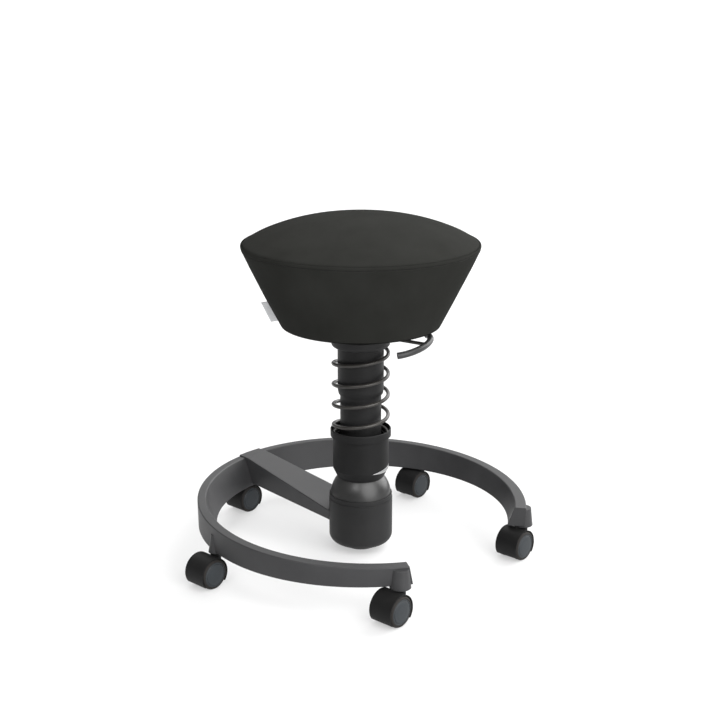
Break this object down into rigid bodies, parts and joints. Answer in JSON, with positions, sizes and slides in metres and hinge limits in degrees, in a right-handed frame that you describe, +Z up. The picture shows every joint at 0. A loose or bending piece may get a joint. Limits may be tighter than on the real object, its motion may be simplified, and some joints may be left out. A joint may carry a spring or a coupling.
{
  "type": "adjustable swivel stool",
  "caption": "Swivel stool with a round tapered upholstered seat on a sprung, tilting column, held by an arm over an open ring base on twin-wheel castors.",
  "frame": {"origin": "on the floor under the middle of the footprint box; the column axis stands 15.3 mm towards +X and 24.0 mm towards -Y of it", "axes": "+Z up, the open side of the ring base faces -Y, the arm runs from the column towards +Y, the castors trail towards -X"},
  "size_m": [0.6094, 0.5618, 0.599],
  "materials": {
    "anthracite_powder_coat": "fine satin powder coat, dark anthracite",
    "black_plastic": "moulded, fine grain",
    "satin_black_plastic": "smooth satin",
    "black_tube_coat": "matt black coat",
    "black_steel": "black coated steel",
    "bright_steel": "turned steel",
    "rubber": "moulded rubber",
    "tyre": "soft tread",
    "castor_black_plastic": "moulded nylon",
    "castor_disc": "moulded, blue-grey",
    "seat_foam": "open-cell foam",
    "black_fabric": "matt black microfibre"
  },
  "bodies": {
    "base": {"base_ring": "anthracite_powder_coat", "support_arm": "anthracite_powder_coat", "arm_screws": "black_steel", "castor_stems": "bright_steel", "hub_housing": "black_plastic", "hub_ring": "black_plastic", "elastomer_ring": "rubber", "lower_yoke": "bright_steel"},
    "knob": {"tension_knob": "black_plastic"},
    "cross": {"tilt_cross": "bright_steel"},
    "strut": {"upper_yoke": "bright_steel", "dome_shroud": "satin_black_plastic", "lower_tube": "black_tube_coat", "coil_spring": "black_steel"},
    "cup": {"spring_cup": "black_plastic"},
    "sleeve": {"upper_sleeve": "black_tube_coat", "guide_bush": "black_plastic", "spring_plate": "black_plastic", "gas_cylinder": "black_steel"},
    "lift": {"gas_rod": "bright_steel"},
    "release": {"release_pin": "bright_steel"},
    "lever": {"lever_rod": "black_steel", "lever_grip": "black_plastic"},
    "seat": {"seat_plate": "black_steel", "lever_pin": "bright_steel", "seat_pan": "black_plastic", "seat_screws": "bright_steel", "seat_foam": "seat_foam", "seat_cover_side": "black_fabric", "seat_cover_top": "black_fabric"},
    "front_left_castor": {"front_left_castor_hood": "castor_black_plastic", "front_left_castor_axle": "bright_steel"},
    "front_left_castor_wheel_a": {"front_left_castor_wheel_a": "castor_disc", "front_left_castor_tyre_a": "tyre"},
    "front_left_castor_wheel_b": {"front_left_castor_wheel_b": "castor_disc", "front_left_castor_tyre_b": "tyre"},
    "front_right_castor": {"front_right_castor_hood": "castor_black_plastic", "front_right_castor_axle": "bright_steel"},
    "front_right_castor_wheel_a": {"front_right_castor_wheel_a": "castor_disc", "front_right_castor_tyre_a": "tyre"},
    "front_right_castor_wheel_b": {"front_right_castor_wheel_b": "castor_disc", "front_right_castor_tyre_b": "tyre"},
    "left_castor": {"left_castor_hood": "castor_black_plastic", "left_castor_axle": "bright_steel"},
    "left_castor_wheel_a": {"left_castor_wheel_a": "castor_disc", "left_castor_tyre_a": "tyre"},
    "left_castor_wheel_b": {"left_castor_wheel_b": "castor_disc", "left_castor_tyre_b": "tyre"},
    "right_castor": {"right_castor_hood": "castor_black_plastic", "right_castor_axle": "bright_steel"},
    "right_castor_wheel_a": {"right_castor_wheel_a": "castor_disc", "right_castor_tyre_a": "tyre"},
    "right_castor_wheel_b": {"right_castor_wheel_b": "castor_disc", "right_castor_tyre_b": "tyre"},
    "back_castor": {"back_castor_hood": "castor_black_plastic", "back_castor_axle": "bright_steel"},
    "back_castor_wheel_a": {"back_castor_wheel_a": "castor_disc", "back_castor_tyre_a": "tyre"},
    "back_castor_wheel_b": {"back_castor_wheel_b": "castor_disc", "back_castor_tyre_b": "tyre"}
  },
  "joints": [
    {"name": "tension_turn", "type": "hinge", "parent": "base", "child": "knob", "pos_m": [0.01525, -0.02402, 0.009], "axis": [0, 0, 1], "range_deg": [-180, 180]},
    {"name": "tilt_fore_aft", "type": "hinge", "parent": "base", "child": "cross", "pos_m": [0.01525, -0.02402, 0.1], "axis": [1, 0, 0], "range_deg": [-12, 12], "stiffness_Nm_per_rad": 180},
    {"name": "tilt_sideways", "type": "hinge", "parent": "cross", "child": "strut", "pos_m": [0.01525, -0.02402, 0.1], "axis": [0, 1, 0], "range_deg": [-12, 12], "stiffness_Nm_per_rad": 180},
    {"name": "cup_turn", "type": "hinge", "parent": "strut", "child": "cup", "pos_m": [0.01525, -0.02402, 0.18], "axis": [0, 0, 1], "range_deg": [-120, 120]},
    {"name": "seat_bounce", "type": "slide", "parent": "strut", "child": "sleeve", "axis": [0, 0, 1], "range_m": [-0.04, 0], "stiffness_N_per_m": 15000, "springref_m": 0.02, "deforming": ["coil_spring"]},
    {"name": "height_lift", "type": "slide", "parent": "sleeve", "child": "lift", "axis": [0, 0, 1], "range_m": [0, 0.1]},
    {"name": "seat_swivel", "type": "hinge", "parent": "lift", "child": "seat", "pos_m": [0.01525, -0.02402, 0.42], "axis": [0, 0, 1], "continuous": true},
    {"name": "lever_lift", "type": "hinge", "parent": "seat", "child": "lever", "pos_m": [0.02015, -0.05564, 0.3935], "axis": [-0.9882, -0.153, 0], "range_deg": [0, 2.5], "stiffness_Nm_per_rad": 4, "springref_deg": -8.59},
    {"name": "release_press", "type": "slide", "parent": "lift", "child": "release", "axis": [0, 0, -1], "range_m": [0, 0.0015]},
    {"name": "front_left_castor_swivel", "type": "hinge", "parent": "base", "child": "front_left_castor", "pos_m": [-0.15168, -0.25688, 0.045], "axis": [0, 0, 1], "continuous": true},
    {"name": "front_left_castor_wheel_a_spin", "type": "hinge", "parent": "front_left_castor", "child": "front_left_castor_wheel_a", "pos_m": [-0.17368, -0.25688, 0.026], "axis": [0, 1, 0], "continuous": true},
    {"name": "front_left_castor_wheel_b_spin", "type": "hinge", "parent": "front_left_castor", "child": "front_left_castor_wheel_b", "pos_m": [-0.17368, -0.25688, 0.026], "axis": [0, 1, 0], "continuous": true},
    {"name": "front_right_castor_swivel", "type": "hinge", "parent": "base", "child": "front_right_castor", "pos_m": [0.18218, -0.25688, 0.045], "axis": [0, 0, 1], "continuous": true},
    {"name": "front_right_castor_wheel_a_spin", "type": "hinge", "parent": "front_right_castor", "child": "front_right_castor_wheel_a", "pos_m": [0.16018, -0.25688, 0.026], "axis": [0, 1, 0], "continuous": true},
    {"name": "front_right_castor_wheel_b_spin", "type": "hinge", "parent": "front_right_castor", "child": "front_right_castor_wheel_b", "pos_m": [0.16018, -0.25688, 0.026], "axis": [0, 1, 0], "continuous": true},
    {"name": "left_castor_swivel", "type": "hinge", "parent": "base", "child": "left_castor", "pos_m": [-0.25485, 0.06064, 0.045], "axis": [0, 0, 1], "continuous": true},
    {"name": "left_castor_wheel_a_spin", "type": "hinge", "parent": "left_castor", "child": "left_castor_wheel_a", "pos_m": [-0.27685, 0.06064, 0.026], "axis": [0, 1, 0], "continuous": true},
    {"name": "left_castor_wheel_b_spin", "type": "hinge", "parent": "left_castor", "child": "left_castor_wheel_b", "pos_m": [-0.27685, 0.06064, 0.026], "axis": [0, 1, 0], "continuous": true},
    {"name": "right_castor_swivel", "type": "hinge", "parent": "base", "child": "right_castor", "pos_m": [0.28535, 0.06064, 0.045], "axis": [0, 0, 1], "continuous": true},
    {"name": "right_castor_wheel_a_spin", "type": "hinge", "parent": "right_castor", "child": "right_castor_wheel_a", "pos_m": [0.26335, 0.06064, 0.026], "axis": [0, 1, 0], "continuous": true},
    {"name": "right_castor_wheel_b_spin", "type": "hinge", "parent": "right_castor", "child": "right_castor_wheel_b", "pos_m": [0.26335, 0.06064, 0.026], "axis": [0, 1, 0], "continuous": true},
    {"name": "back_castor_swivel", "type": "hinge", "parent": "base", "child": "back_castor", "pos_m": [0.01525, 0.25688, 0.045], "axis": [0, 0, 1], "continuous": true},
    {"name": "back_castor_wheel_a_spin", "type": "hinge", "parent": "back_castor", "child": "back_castor_wheel_a", "pos_m": [-0.00675, 0.25688, 0.026], "axis": [0, 1, 0], "continuous": true},
    {"name": "back_castor_wheel_b_spin", "type": "hinge", "parent": "back_castor", "child": "back_castor_wheel_b", "pos_m": [-0.00675, 0.25688, 0.026], "axis": [0, 1, 0], "continuous": true}
  ],
  "couplings": [
    {"joint": "release_press", "follows": "lever_lift", "m_per_rad": 0.032}
  ]
}
